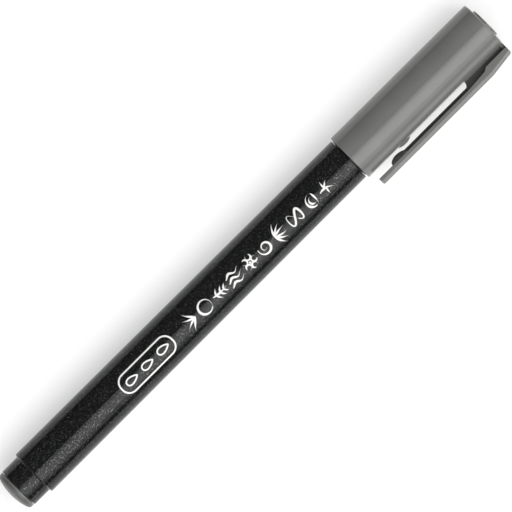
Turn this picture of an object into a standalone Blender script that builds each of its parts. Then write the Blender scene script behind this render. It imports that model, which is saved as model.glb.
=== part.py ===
"""A capped brush-tip calligraphy marker, lying on its side with the clip level with its axis.

The pen's axis runs along X, from the tail plug (-X) to the cap's crown (+X). The clip is on the
-Y side and the printed face of the barrel looks up, +Z. The origin is under the middle of the
pen, on the surface it lies on. Along the pen, a station is the distance from the tail's apex.
"""

import math

import bmesh
import bpy
from mathutils import Vector

MM = 0.001

# Whole pen
LENGTH = 137.0 * MM
ROUND_STEPS = 48  # facets round the outer pieces, a multiple of four
BUSH_STEPS = 40  # facets round the front section and the inner cap
HIDDEN_STEPS = 24  # facets round the pieces inside
MERGE = 1e-6

# Gaps
SEAT_GAP = 0.3 * MM  # between faces that rest on each other
PRESS_GAP = 0.15 * MM  # round a pressed-in piece
SLIDE_GAP = 0.1 * MM  # round a piece that slides or turns

# Barrel
TAIL_SEAM = 2.1 * MM
POST_NECK_END = 6.26 * MM
POST_NECK_R = 4.73 * MM
BARREL_REAR_R = 5.3 * MM
BARREL_FRONT_R = 5.1 * MM
BARREL_FRONT = 97.4 * MM
BORE_R = 4.1 * MM

# Tail plug
PLUG_RIM_R = 4.6 * MM
PLUG_DOME_R = 13.0 * MM
PLUG_SPIGOT_END = 9.0 * MM
PLUG_WALL = 0.8 * MM

# Ink reservoir and its film
FILM_START = 12.5 * MM
FILM_END = 89.1 * MM
FILM_R = 3.8 * MM
FILM_WALL = 0.15 * MM
RESERVOIR_INSET = 0.4 * MM
CORE_BURY = 8.5 * MM

# Feed core and front section
CORE_R = 1.3 * MM
CORE_FRONT = 116.3 * MM
SECTION_REAR = 89.4 * MM
GRIP_FRONT = 106.9 * MM
SEAL_R = 3.3 * MM
SEAL_START = 107.5 * MM
SEAL_END = 112.5 * MM
MOUTH = 119.0 * MM
MOUTH_R = 1.95 * MM
SOCKET_R = 1.5 * MM

# Nib
NIB_PIVOT = 118.2 * MM
NIB_SHANK_R = 1.2 * MM
NIB_BASE_R = 1.38 * MM
NIB_TIP = 126.6 * MM
NIB_TIP_R = 0.22 * MM
NIB_SWELL = 1.35  # above 1 the flank is convex

# Cap
CAP_MOUTH = 97.7 * MM
CAP_MOUTH_R = 5.6 * MM
CAP_TOP_R = 5.52 * MM
CAP_SHOULDER = 136.4 * MM
CAP_CROWN_IN = 135.2 * MM
CROWN_DISC_R = 3.35 * MM
CROWN_DISC_RISE = 0.22 * MM  # how far the crown has risen where the disc begins
LINER_STEP = 107.3 * MM
CAP_LINER_R = 4.7 * MM

# Inner cap
INNER_CAP_START = 107.9 * MM
INNER_CAP_END = 132.0 * MM
INNER_CAVITY_R = 3.15 * MM
INNER_CAVITY_END = 131.2 * MM
INNER_STEM_R = 1.6 * MM
WAIST_R = 4.15 * MM

# Clip: heights are distances from the pen's axis
CLIP_START = 98.9 * MM
CLIP_FLEX = 125.0 * MM
STRIP_IN = 7.3 * MM
STRIP_OUT = 8.88 * MM
CROWN_RISE = 0.78 * MM
STRIP_HALF_START = 1.5 * MM
STRIP_HALF_ROOT = 1.75 * MM
RIB_IN = 6.68 * MM
RIB_HALF = 0.55 * MM
ROOT_IN = 6.4 * MM
ROOT_KINK = 130.6 * MM
ROOT_OUT_END = 8.2 * MM
WEB_START = 125.25 * MM
WEB_HALF = 0.8 * MM
FLANGE_START = 135.5 * MM
BUMP_STATION = 107.9 * MM
BALL_STATION = 104.75 * MM

AXIS_Y = (STRIP_OUT - CAP_MOUTH_R) / 2
AXIS_Z = CAP_MOUTH_R


# ---------------------------------------------------------------- scene and materials

def clear_scene():
    for obj in list(bpy.data.objects):
        bpy.data.objects.remove(obj, do_unlink=True)


def plastic(name, colour, roughness, metallic=0.0):
    """A Principled BSDF material with one colour."""
    material = bpy.data.materials.new(name)
    material.use_nodes = True
    shader = material.node_tree.nodes["Principled BSDF"]
    shader.inputs["Base Color"].default_value = (*colour, 1.0)
    shader.inputs["Roughness"].default_value = roughness
    shader.inputs["Metallic"].default_value = metallic
    material.diffuse_color = (*colour, 1.0)
    return material


def pen_axis():
    """The empty that every piece hangs on: its X axis is the pen's, and starts at the tail's apex."""
    empty = bpy.data.objects.new("pen_axis", None)
    empty.location = (-LENGTH / 2, AXIS_Y, AXIS_Z)
    bpy.context.collection.objects.link(empty)
    return empty


# ---------------------------------------------------------------- outlines

def rounded(corners, steps=2):
    """The outline (station, radius) with each corner that has a third number rounded to that radius."""
    outline = []
    count = len(corners)
    for index, corner in enumerate(corners):
        here = Vector(corner[:2])
        if len(corner) < 3:
            outline.append(tuple(here))
            continue
        before = (Vector(corners[index - 1][:2]) - here).normalized()
        after = (Vector(corners[(index + 1) % count][:2]) - here).normalized()
        half = before.angle(after) / 2
        reach = corner[2] / math.tan(half)
        centre = here + (before + after).normalized() * corner[2] / math.sin(half)
        first = here + before * reach - centre
        last = here + after * reach - centre
        for step in range(steps + 1):
            arm = first.lerp(last, step / steps).normalized() * corner[2]
            outline.append(tuple(centre + arm))
    return outline


def dome(station, depth, radius, steps=5):
    """Points on a shallow sphere that bulges towards the tail, from its rim in to its apex."""
    rim = math.asin(min(1.0, radius / depth))
    return [
        (station + depth * (1 - math.cos(rim * (1 - step / steps))),
         depth * math.sin(rim * (1 - step / steps)))
        for step in range(steps + 1)
    ]


# ---------------------------------------------------------------- builders

def add_object(name, mesh, material, axis, station=0.0, height=0.0):
    """An object on the pen's axis at a station, or that height out from it on the clip's side."""
    obj = bpy.data.objects.new(name, mesh)
    obj.parent = axis
    obj.location = (station, -height, 0.0)
    if material:
        mesh.materials.append(material)
    bpy.context.collection.objects.link(obj)
    return obj


def turned(name, outline, material, axis, steps=ROUND_STEPS, station=0.0):
    """A solid of revolution about the pen's axis. The outline runs from the crown's end to the
    tail's along the outside, and back along the bore if the piece has one."""
    mesh = bpy.data.meshes.new(name)
    points = [(radius, 0.0, place - station) for place, radius in outline]
    solid_core = outline[0][1] == 0.0 and outline[-1][1] == 0.0
    edges = [(i, i + 1) for i in range(len(points) - 1)]
    if not solid_core:
        edges.append((len(points) - 1, 0))
    mesh.from_pydata(points, edges, [])
    obj = add_object(name, mesh, material, axis, station)
    obj.rotation_euler = (0.0, math.pi / 2, 0.0)
    screw = obj.modifiers.new("Turn", "SCREW")
    screw.axis = "Z"
    screw.steps = steps
    screw.render_steps = steps
    screw.use_merge_vertices = True
    screw.merge_threshold = MERGE
    screw.use_smooth_shade = True
    return obj


def lofted(name, rings, material, axis, station=0.0, height=0.0):
    """A closed skin through rings of (station, height, across) points, capped at both ends."""
    shape = bmesh.new()
    loops = []
    for ring in rings:
        loops.append([
            shape.verts.new((place - station, -(out - height), across))
            for place, out, across in ring
        ])
    for near, far in zip(loops, loops[1:]):
        for i in range(len(near)):
            j = (i + 1) % len(near)
            shape.faces.new((near[i], near[j], far[j], far[i]))
    shape.faces.new(loops[0][::-1])
    shape.faces.new(loops[-1])
    bmesh.ops.recalc_face_normals(shape, faces=shape.faces)
    mesh = bpy.data.meshes.new(name)
    shape.to_mesh(mesh)
    shape.free()
    return add_object(name, mesh, material, axis, station, height)


def slab(name, outline, half_width, axis, **place):
    """An outline of (station, height) points given an even thickness across the clip."""
    rings = [[(s, h, side * half_width) for s, h in outline] for side in (-1, 1)]
    return lofted(name, rings, None, axis, **place)


def pebble(name, size, axis, station, height):
    """An ellipsoid with half-sizes along the pen, out from it and across it."""
    shape = bmesh.new()
    bmesh.ops.create_uvsphere(shape, u_segments=24, v_segments=12, radius=1.0)
    bmesh.ops.scale(shape, vec=size, verts=shape.verts)
    mesh = bpy.data.meshes.new(name)
    shape.to_mesh(mesh)
    shape.free()
    return add_object(name, mesh, None, axis, station, height)


def unite(target, helpers):
    """Joins each helper to the target with a Boolean, and keeps the helper out of the model."""
    for helper in helpers:
        helper.hide_render = True
        helper.display_type = "WIRE"
        joint = target.modifiers.new(helper.name, "BOOLEAN")
        joint.operation = "UNION"
        joint.solver = "EXACT"
        joint.object = helper


# ---------------------------------------------------------------- pen body

def make_barrel(material, axis):
    """Tapered tube, open at both ends, with the narrower neck that the cap posts on."""
    shoulder = BARREL_REAR_R - POST_NECK_R
    outline = rounded([
        (BARREL_FRONT, BARREL_FRONT_R, 0.1 * MM),
        (POST_NECK_END + 0.6 * shoulder, BARREL_REAR_R, 0.12 * MM),
        (POST_NECK_END, POST_NECK_R),
        (TAIL_SEAM, POST_NECK_R, 0.08 * MM),
        (TAIL_SEAM, BORE_R),
        (BARREL_FRONT, BORE_R),
    ])
    return turned("barrel", outline, material, axis)


def make_tail_plug(material, axis):
    """Domed button on a hollow spigot, with two beads that grip the barrel's bore."""
    spigot = BORE_R - PRESS_GAP - 0.1 * MM
    bead = BORE_R - PRESS_GAP / 2
    seat = TAIL_SEAM - SEAT_GAP
    face = dome(0.0, PLUG_DOME_R, PLUG_RIM_R - 0.9 * MM)
    corner = rounded([
        (seat, spigot),
        (seat, PLUG_RIM_R, 0.08 * MM),
        (0.9 * MM, PLUG_RIM_R - 0.02 * MM, 0.85 * MM),
        face[0],
    ], steps=4)[:-1]
    hollow = spigot - PLUG_WALL
    outline = [(PLUG_SPIGOT_END, hollow), (PLUG_SPIGOT_END, spigot - 0.2 * MM)]
    outline += [(PLUG_SPIGOT_END - 0.5 * MM, spigot)]
    for middle in (7.2 * MM, 4.6 * MM):
        outline += [(middle + 0.4 * MM, spigot), (middle, bead), (middle - 0.4 * MM, spigot)]
    outline += corner + face
    outline = [(seat - 0.2 * MM, 0.0), (seat - 0.2 * MM, hollow)] + outline
    return turned("tail_plug", outline, material, axis)


def make_film(material, axis):
    """Thin sleeve wound round the fibre."""
    outline = [
        (FILM_END, FILM_R),
        (FILM_START, FILM_R),
        (FILM_START, FILM_R - FILM_WALL),
        (FILM_END, FILM_R - FILM_WALL),
    ]
    return turned("reservoir_film", outline, material, axis, HIDDEN_STEPS)


def make_reservoir(material, axis):
    """Fibre bundle that holds the ink, pierced in front by the feed core."""
    front = FILM_END - RESERVOIR_INSET
    radius = FILM_R - FILM_WALL - SLIDE_GAP
    hole = CORE_R + PRESS_GAP
    outline = rounded([
        (front, hole),
        (front, radius, 0.2 * MM),
        (FILM_START + RESERVOIR_INSET, radius, 0.2 * MM),
        (FILM_START + RESERVOIR_INSET, 0.0),
    ])
    outline = [(front - CORE_BURY, 0.0), (front - CORE_BURY, hole)] + outline
    return turned("ink_reservoir", outline, material, axis, HIDDEN_STEPS)


def make_feed_core(material, axis):
    """Fibre rod that carries ink from the reservoir to the nib."""
    rear = FILM_END - RESERVOIR_INSET - CORE_BURY + SEAT_GAP
    outline = rounded([
        (CORE_FRONT, 0.0),
        (CORE_FRONT, CORE_R, 0.15 * MM),
        (rear, CORE_R, 0.3 * MM),
        (rear, 0.0),
    ])
    return turned("feed_core", outline, material, axis, HIDDEN_STEPS)


def make_front_section(material, axis):
    """Grip with a spigot for the barrel, the land that the inner cap seals on, and the nib's cone."""
    spigot = BORE_R - PRESS_GAP
    core_bore = CORE_R + PRESS_GAP
    grip_end = POST_NECK_R - 0.15 * MM
    outline = rounded([
        (MOUTH, SOCKET_R, 0.1 * MM),
        (MOUTH, MOUTH_R, 0.2 * MM),
        (SEAL_END, SEAL_R, 0.6 * MM),
        (SEAL_START, SEAL_R, 0.2 * MM),
        (GRIP_FRONT, grip_end, 0.3 * MM),
        (BARREL_FRONT + SEAT_GAP, POST_NECK_R, 0.06 * MM),
        (BARREL_FRONT + SEAT_GAP, spigot),
        (SECTION_REAR, spigot, 0.3 * MM),
        (SECTION_REAR, SEAL_R - 0.3 * MM),
        (101.0 * MM, SEAL_R - 0.3 * MM, 0.3 * MM),
        (103.0 * MM, core_bore),
        (CORE_FRONT - 0.3 * MM, core_bore),
        (CORE_FRONT - 0.3 * MM, SOCKET_R),
    ])
    return turned("front_section", outline, material, axis, BUSH_STEPS)


def make_nib(material, axis):
    """Soft brush tip: an ogive on a short shank, loose enough in its socket to bend at the mouth."""
    base = MOUTH + SEAT_GAP
    rear = CORE_FRONT + SEAT_GAP
    point = NIB_TIP - NIB_TIP_R
    outline = [(NIB_TIP, 0.0), (NIB_TIP - 0.3 * NIB_TIP_R, 0.7 * NIB_TIP_R)]
    flank_steps = 8
    for step in range(flank_steps + 1):
        share = step / flank_steps
        growth = 1 - (1 - share) ** NIB_SWELL
        outline.append((point - share * (point - base), NIB_TIP_R + growth * (NIB_BASE_R - NIB_TIP_R)))
    outline += [(base - 0.2 * MM, NIB_SHANK_R), (rear, NIB_SHANK_R), (rear, 0.0)]
    return turned("nib", outline, material, axis, HIDDEN_STEPS, station=NIB_PIVOT)


# ---------------------------------------------------------------- cap

def make_inner_cap(material, axis):
    """Sealing cup round the nib, with a flange at each end and a stem against the crown."""
    outer = CAP_LINER_R - SLIDE_GAP
    seal = SEAL_R + SLIDE_GAP
    step_at = SEAL_END + 2.0 * MM
    outline = rounded([
        (CAP_CROWN_IN - SEAT_GAP, 0.0),
        (CAP_CROWN_IN - SEAT_GAP, INNER_STEM_R, 0.2 * MM),
        (INNER_CAP_END, INNER_STEM_R),
        (INNER_CAP_END, outer, 0.3 * MM),
        (INNER_CAP_END - 2.4 * MM, outer),
        (INNER_CAP_END - 2.8 * MM, WAIST_R),
        (INNER_CAP_START + 2.8 * MM, WAIST_R),
        (INNER_CAP_START + 2.4 * MM, outer),
        (INNER_CAP_START, outer, 0.2 * MM),
        (INNER_CAP_START, seal, 0.3 * MM),
        (step_at, seal),
        (step_at + 0.4 * MM, INNER_CAVITY_R),
        (INNER_CAVITY_END, INNER_CAVITY_R, 0.3 * MM),
        (INNER_CAVITY_END, 0.0),
    ])
    return turned("inner_cap", outline, material, axis, BUSH_STEPS)


def make_cap_shell(material, axis):
    """Outer cap with its crown disc, the lump that faces the clip's ball, and the clip's root."""
    disc_start = CAP_SHOULDER + CROWN_DISC_RISE
    guide_r = POST_NECK_R + SLIDE_GAP
    outline = rounded([
        (LENGTH, 0.0),
        (LENGTH, CROWN_DISC_R, 0.18 * MM),
        (disc_start, CROWN_DISC_R + 0.05 * MM),
        (CAP_SHOULDER, CAP_TOP_R, 0.3 * MM),
        (CAP_MOUTH, CAP_MOUTH_R, 0.08 * MM),
        (CAP_MOUTH, guide_r, 0.2 * MM),
        (LINER_STEP, guide_r),
        (LINER_STEP + 0.2 * MM, CAP_LINER_R),
        (CAP_CROWN_IN, CAP_LINER_R, 0.5 * MM),
        (CAP_CROWN_IN, 0.0),
    ])
    shell = turned("cap_shell", outline, material, axis)
    bump = pebble("bump_shape", (1.75 * MM, 0.64 * MM, 1.3 * MM), axis, BUMP_STATION, 5.4 * MM)
    unite(shell, [bump, *make_clip_root(axis)])
    return shell


def strip_ring(station, inner, outer, half_width):
    """The strip's cross-section: a flat inner face, straight sides and a crowned outer face."""
    crown_start = outer - CROWN_RISE
    ring = [(station, inner, -half_width), (station, inner, half_width)]
    for degrees in range(0, 181, 30):
        angle = math.radians(degrees)
        height = crown_start + CROWN_RISE * math.sin(angle)
        ring.append((station, height, half_width * math.cos(angle)))
    return ring


def make_clip_root(axis):
    """The fixed end of the clip: the deepened strip, the web under it and the flange at the crown."""
    end = CAP_SHOULDER - 0.02 * MM
    start = CLIP_FLEX + SEAT_GAP / 2
    rings = [
        strip_ring(start, STRIP_IN - 0.05 * MM, STRIP_OUT, STRIP_HALF_ROOT),
        strip_ring(128.0 * MM, 7.03 * MM, STRIP_OUT, STRIP_HALF_ROOT),
        strip_ring(130.0 * MM, 6.75 * MM, STRIP_OUT, STRIP_HALF_ROOT),
        strip_ring(ROOT_KINK, ROOT_IN, STRIP_OUT - 0.07 * MM, STRIP_HALF_ROOT),
        strip_ring(end - 0.3 * MM, ROOT_IN, ROOT_OUT_END + 0.1 * MM, STRIP_HALF_ROOT),
        strip_ring(end, ROOT_IN, ROOT_OUT_END - 0.15 * MM, STRIP_HALF_ROOT - 0.1 * MM),
    ]
    strip = lofted("clip_root_strip", rings, None, axis)
    web = slab("clip_root_web", [
        (WEB_START, 5.1 * MM),
        (WEB_START - 0.05 * MM, 7.4 * MM),
        (FLANGE_START + 0.2 * MM, 7.4 * MM),
        (FLANGE_START + 0.2 * MM, 5.1 * MM),
    ], WEB_HALF, axis)
    flange = slab("clip_root_flange", [
        (FLANGE_START, 4.9 * MM),
        (FLANGE_START, 6.6 * MM),
        (end - 0.05 * MM, 6.6 * MM),
        (end - 0.05 * MM, 4.9 * MM),
    ], STRIP_HALF_ROOT - 0.05 * MM, axis)
    return [strip, web, flange]


def make_clip(material, axis):
    """The clip's free arm, with its origin where it bends, a stiffening rib and the gripping ball."""
    place = {"station": CLIP_FLEX, "height": (STRIP_IN + STRIP_OUT) / 2}
    end = CLIP_FLEX - SEAT_GAP / 2
    rings = [
        strip_ring(CLIP_START, STRIP_IN, STRIP_OUT - 0.2 * MM, STRIP_HALF_START - 0.15 * MM),
        strip_ring(CLIP_START + 0.25 * MM, STRIP_IN, STRIP_OUT, STRIP_HALF_START),
        strip_ring(end, STRIP_IN, STRIP_OUT, STRIP_HALF_ROOT),
    ]
    arm = lofted("clip", rings, material, axis, **place)
    rib = slab("clip_rib", [
        (BALL_STATION, RIB_IN),
        (BALL_STATION, STRIP_IN + 0.3 * MM),
        (end - 0.02 * MM, STRIP_IN + 0.3 * MM),
        (end - 0.02 * MM, RIB_IN),
    ], RIB_HALF, axis, **place)
    ball = pebble("clip_ball", (1.95 * MM, 1.1 * MM, 1.2 * MM), axis, BALL_STATION, STRIP_IN)
    unite(arm, [rib, ball])
    return arm


def main():
    clear_scene()
    axis = pen_axis()
    cap_grey = plastic("cap_grey_plastic", (0.2, 0.2, 0.19), 0.38)
    make_barrel(plastic("glitter_black_plastic", (0.016, 0.017, 0.018), 0.3), axis)
    make_tail_plug(plastic("plug_grey_plastic", (0.17, 0.18, 0.175), 0.45), axis)
    make_front_section(plastic("section_black_plastic", (0.02, 0.02, 0.021), 0.35), axis)
    make_reservoir(plastic("inked_fibre", (0.1, 0.1, 0.11), 0.95), axis)
    make_film(plastic("film_plastic", (0.75, 0.75, 0.73), 0.2), axis)
    make_feed_core(plastic("core_fibre", (0.12, 0.12, 0.13), 0.9), axis)
    make_nib(plastic("nib_grey", (0.07, 0.07, 0.075), 0.6), axis)
    make_inner_cap(plastic("inner_cap_white_plastic", (0.7, 0.7, 0.68), 0.4), axis)
    make_cap_shell(cap_grey, axis)
    make_clip(cap_grey.copy(), axis)


main()
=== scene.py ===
"""Looks of a capped brush-tip calligraphy marker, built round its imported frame.

The pen lies along X with its cap at +X, its clip on the -Y side and its print facing up. A station
is a distance along the pen from the tail's apex, and a height is a distance from the pen's axis.
"""

import math

import bpy
import numpy as np
from bpy.props import FloatProperty, FloatVectorProperty, IntProperty, PointerProperty
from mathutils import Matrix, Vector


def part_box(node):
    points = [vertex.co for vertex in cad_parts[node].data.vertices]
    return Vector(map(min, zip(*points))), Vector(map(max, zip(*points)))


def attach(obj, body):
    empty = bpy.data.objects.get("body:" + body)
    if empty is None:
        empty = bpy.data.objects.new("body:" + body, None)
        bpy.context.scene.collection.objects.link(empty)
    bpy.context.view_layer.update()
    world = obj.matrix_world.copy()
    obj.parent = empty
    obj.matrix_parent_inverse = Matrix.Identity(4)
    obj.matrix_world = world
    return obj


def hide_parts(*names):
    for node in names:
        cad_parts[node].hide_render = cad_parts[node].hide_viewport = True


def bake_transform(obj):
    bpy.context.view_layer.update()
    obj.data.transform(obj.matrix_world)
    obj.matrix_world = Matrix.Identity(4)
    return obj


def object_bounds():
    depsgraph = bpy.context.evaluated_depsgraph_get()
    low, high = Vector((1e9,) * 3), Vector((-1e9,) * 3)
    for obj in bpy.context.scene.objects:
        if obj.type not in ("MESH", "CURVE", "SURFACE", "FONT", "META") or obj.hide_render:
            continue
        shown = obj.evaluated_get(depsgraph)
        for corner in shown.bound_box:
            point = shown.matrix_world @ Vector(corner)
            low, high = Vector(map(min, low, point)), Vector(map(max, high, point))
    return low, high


bl_info = {
    "name": "Brush Marker Looks",
    "version": (1, 0, 0),
    "blender": (4, 5, 0),
    "location": "View3D > Sidebar > Marker",
    "description": "Surfaces, print, materials and stage of a capped brush marker",
    "category": "Add Mesh",
}

MM = 0.001

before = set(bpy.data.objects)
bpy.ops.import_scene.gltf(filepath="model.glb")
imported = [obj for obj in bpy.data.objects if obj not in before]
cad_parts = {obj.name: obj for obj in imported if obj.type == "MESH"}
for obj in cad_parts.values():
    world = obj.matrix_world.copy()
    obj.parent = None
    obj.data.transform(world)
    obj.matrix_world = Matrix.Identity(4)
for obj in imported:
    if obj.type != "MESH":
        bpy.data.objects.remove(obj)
CAD_LOW, CAD_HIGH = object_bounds()

BARREL_LOW, BARREL_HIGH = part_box("barrel")
PLUG_LOW, PLUG_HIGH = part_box("tail_plug")
SECTION_LOW, SECTION_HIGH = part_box("front_section")
NIB_LOW, NIB_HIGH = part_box("nib")
INNER_LOW, INNER_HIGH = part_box("inner_cap")
CAP_LOW, CAP_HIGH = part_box("cap_shell")
CLIP_LOW, CLIP_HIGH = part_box("clip")

TAIL_X = CAD_LOW.x
LENGTH = CAD_HIGH.x - CAD_LOW.x
AXIS_Y = (BARREL_LOW.y + BARREL_HIGH.y) / 2
AXIS_Z = (BARREL_LOW.z + BARREL_HIGH.z) / 2
BARREL_FRONT = BARREL_HIGH.x - TAIL_X
BARREL_REAR = BARREL_LOW.x - TAIL_X
BARREL_RADIUS = (BARREL_HIGH.z - BARREL_LOW.z) / 2

SEAM_GAP = 0.15 * MM  # between the barrel's tail and the plug's shoulder
RIB_EDGE = 6.68 * MM  # height of the rib's edge, next to the cap
PAINTED_SHADE_SHARE = -0.7  # painted shade: share by which the tone is darkened in the clip's recesses


# ---- settings a user would change

def length(name, text, millimetres):
    """A length property with its default given in millimetres."""
    return FloatProperty(name=name, description=text, default=millimetres * MM,
                         min=0.0, unit="LENGTH", subtype="DISTANCE", precision=5)


def colour(name, text, value):
    """A colour property."""
    return FloatVectorProperty(name=name, description=text, default=value, size=3,
                               min=0.0, max=1.0, subtype="COLOR")


def amount(name, text, value, top=1.0):
    """A plain number between 0 and top."""
    return FloatProperty(name=name, description=text, default=value, min=0.0, max=top)


class MarkerShape(bpy.types.PropertyGroup):
    """Sizes that the frame's boxes don't give."""

    facets: IntProperty(name="Facets", description="Facets round the outer pieces",
                        default=192, min=16, step=4)
    fine: length("Finest step", "Longest step along an outline", 1.2)
    rim: length("Rim rounding", "Radius on the rims of the cap and the barrel", 0.12)
    post_neck_end: length("Posting neck", "Station where the tail's neck ends", 6.26)
    post_neck_radius: length("Neck radius", "Radius of the neck that the cap posts on", 4.73)
    barrel_front_radius: length("Barrel at the cap", "Barrel's radius where the cap meets it", 5.1)
    bore: length("Bore", "Radius of the barrel's bore", 4.1)
    plug_dome: length("Plug dome", "Radius of curvature of the tail plug's face", 13.0)
    # The plug's paler band over this land is a painted highlight.
    plug_band: length("Plug band", "Width of the plug's bare land beside the seam", 0.4)
    cap_top_radius: length("Cap at the crown", "Cap's radius at its closed end", 5.52)
    cap_shoulder: length("Cap shoulder", "Station of the cap's end face", 136.4)
    crown_disc: length("Crown disc", "Radius of the low disc on the cap's end", 3.35)
    crown_rise: length("Crown rise", "Rise of the end face up to the disc", 0.22)
    cap_bore: length("Cap bore", "Radius of the cap's bore at its mouth", 4.83)
    liner_bore: length("Liner bore", "Radius of the bore that holds the inner cap", 4.7)
    bump_station: length("Lump station", "Station of the lump opposite the clip's ball", 107.9)
    bump_height: length("Lump height", "Height of the lump on the cap", 0.5)
    strip_inner: length("Clip inner face", "Height of the arm's inner face", 7.3)
    strip_side: length("Clip side", "How far the crowned face stands over the sides", 0.78)
    strip_half: length("Clip half width", "Half the clip's width at its root", 1.75)
    strip_half_end: length("Clip end half width", "Half the clip's width at its free end", 1.5)
    strip_draft: length("Clip draft", "How much each side leans in, for each millimetre of it", 0.2)
    rib_half: length("Rib half width", "Half the width of the rib under the arm", 0.35)
    ball_station: length("Ball station", "Station of the clip's gripping ball", 104.75)
    ball_height: length("Ball height", "How far the ball stands out of the arm", 1.1)
    web_half: length("Web half width", "Half the thickness of the web at the clip", 0.38)


class MarkerPrint(bpy.types.PropertyGroup):
    """Where the print lies on the barrel, and how bold it is."""

    turn: FloatProperty(name="Turn", description="Print's middle, from straight up to the clip",
                        default=math.radians(8.0), subtype="ANGLE")
    frame_start: length("Frame start", "Station where the rounded outline starts", 31.2)
    frame_length: length("Frame length", "Length of the rounded outline", 14.8)
    frame_width: length("Frame width", "Width of the rounded outline", 4.8)
    line: length("Line", "Width of the outline's line", 0.36)
    marks_start: length("Marks start", "Station where the row of brush marks starts", 48.8)
    marks_end: length("Marks end", "Station where the row of brush marks ends", 92.0)
    mark_size: length("Mark size", "Size of one brush mark", 3.75)
    stroke: length("Stroke", "Widest part of a brush stroke", 0.5)
    film: length("Ink film", "How far the print stands out of the barrel", 0.012)


class MarkerFinish(bpy.types.PropertyGroup):
    """Colours and gloss."""

    cap: colour("Cap grey", "Satin plastic of the cap and the clip", (0.148, 0.148, 0.141))
    plug: colour("Plug grey", "Plastic of the tail plug", (0.08, 0.083, 0.079))
    barrel: colour("Barrel black", "Ground colour of the barrel", (0.003, 0.0032, 0.0033))
    flake: colour("Flake silver", "Colour of the flakes in the barrel", (0.62, 0.63, 0.62))
    section: colour("Section black", "Plastic of the grip", (0.013, 0.013, 0.014))
    nib: colour("Nib grey", "Soft tip with pale ink in it", (0.075, 0.075, 0.08))
    liner: colour("Liner white", "Natural plastic of the inner cap", (0.68, 0.68, 0.65))
    ink: colour("Print white", "Ink of the print", (0.82, 0.82, 0.8))
    fibre: colour("Fibre", "Fibre that is soaked with pale ink", (0.16, 0.16, 0.17))
    film: colour("Film", "Film round the reservoir", (0.72, 0.72, 0.7))
    cap_roughness: amount("Cap roughness", "Roughness of the cap and the clip", 0.15)
    barrel_roughness: amount("Barrel roughness", "Roughness of the barrel", 0.15)
    flake_share: amount("Flake share", "Share of the surface that holds flakes", 0.2)


class MarkerStage(bpy.types.PropertyGroup):
    """Floor, light and camera."""

    floor: colour("Floor", "Colour of the floor", (0.58, 0.58, 0.58))
    glow: amount("Glow", "Light that the floor gives off itself, as a light table does", 0.48)
    sky: amount("Sky", "Strength of the even light from all round", 0.2, 5.0)
    ends: amount("Ends", "Strength of the light past the two ends of the pen", 1.7, 5.0)
    key: amount("Key", "Brightness of the large soft light on the clip's side", 3.0, 20.0)
    camera_height: FloatProperty(name="Camera height", description="Camera's distance over the pen",
                                 default=3.0, unit="LENGTH", subtype="DISTANCE")
    frame_width: length("Frame width", "Width that the picture covers at the pen", 104.7)
    roll: FloatProperty(name="Roll", description="Turn of the picture about the view",
                        default=math.radians(-44.908), subtype="ANGLE")


# ---- surfaces

def ease(share):
    """Smooth step: 3t^2 - 2t^3 with t held between 0 and 1."""
    held = np.clip(share, 0.0, 1.0)
    return held * held * (3 - 2 * held)


def quarter_turn(count):
    """Angles from 0 to a right angle."""
    return np.linspace(0, math.pi / 2, count)


def rounded(share):
    """A quarter circle, 1 - sqrt(1 - t^2), with t held between 0 and 1."""
    return 1 - np.sqrt(1 - np.clip(share, 0, 1) ** 2)


def divided(line, step):
    """The line's points, with each long run cut into equal pieces no longer than step. The last
    point is left out."""
    pieces = []
    for near, far in zip(line, line[1:]):
        cuts = max(1, math.ceil(np.linalg.norm(far - near) / step))
        pieces.append(near + (far - near) * np.linspace(0, 1, cuts, endpoint=False)[:, None])
    return np.concatenate(pieces)


def outline(corners, step, arc_steps=6):
    """Stations and radii along straight runs between corners. A corner with a third number is an
    arc of that radius that touches both runs, and no straight piece is longer than step."""
    points = []
    count = len(corners)
    for index, corner in enumerate(corners):
        here = np.array(corner[:2])
        if len(corner) < 3:
            points.append(here[None])
            continue
        before = np.array(corners[index - 1][:2]) - here
        after = np.array(corners[(index + 1) % count][:2]) - here
        before /= np.linalg.norm(before)
        after /= np.linalg.norm(after)
        half = math.acos(np.clip(before @ after, -1, 1)) / 2
        middle = before + after
        centre = here + middle / np.linalg.norm(middle) * corner[2] / math.sin(half)
        ends = [here + side * corner[2] / math.tan(half) - centre for side in (before, after)]
        share = np.linspace(0, 1, arc_steps + 1)[:, None]
        arms = ends[0] * (1 - share) + ends[1] * share
        points.append(centre + arms / np.linalg.norm(arms, axis=1)[:, None] * corner[2])
    line = np.concatenate(points)
    return np.concatenate([divided(line, step), line[-1:]])


def to_row_frame(station, out, across):
    """Points at a station, a height towards the clip and a distance across, up from the axis."""
    station, out, across = np.broadcast_arrays(station, out, across)
    return np.stack([TAIL_X + station, AXIS_Y - out, AXIS_Z + across], axis=-1)


def turn_about_axis(line, facets, lift=None):
    """Grid of a solid of revolution: at angle a the point is (station, r cos a, r sin a), with a
    lift(station, angle) added to r where one is given. Angle 0 faces the clip."""
    angle = np.arange(facets) * 2 * math.pi / facets
    station = line[:, :1]
    radius = line[:, 1:] + (0 if lift is None else lift(station, angle[None, :], line[:, 1:]))
    return to_row_frame(station, radius * np.cos(angle), radius * np.sin(angle))


def signed_volume(points, triangles):
    """A sixth of the sum of a . (b x c) over the triangles: above 0 where they face outwards."""
    a, b, c = (points[triangles[:, i]] for i in range(3))
    return float(np.einsum("ij,ij->i", a, np.cross(b, c)).sum()) / 6


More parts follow.
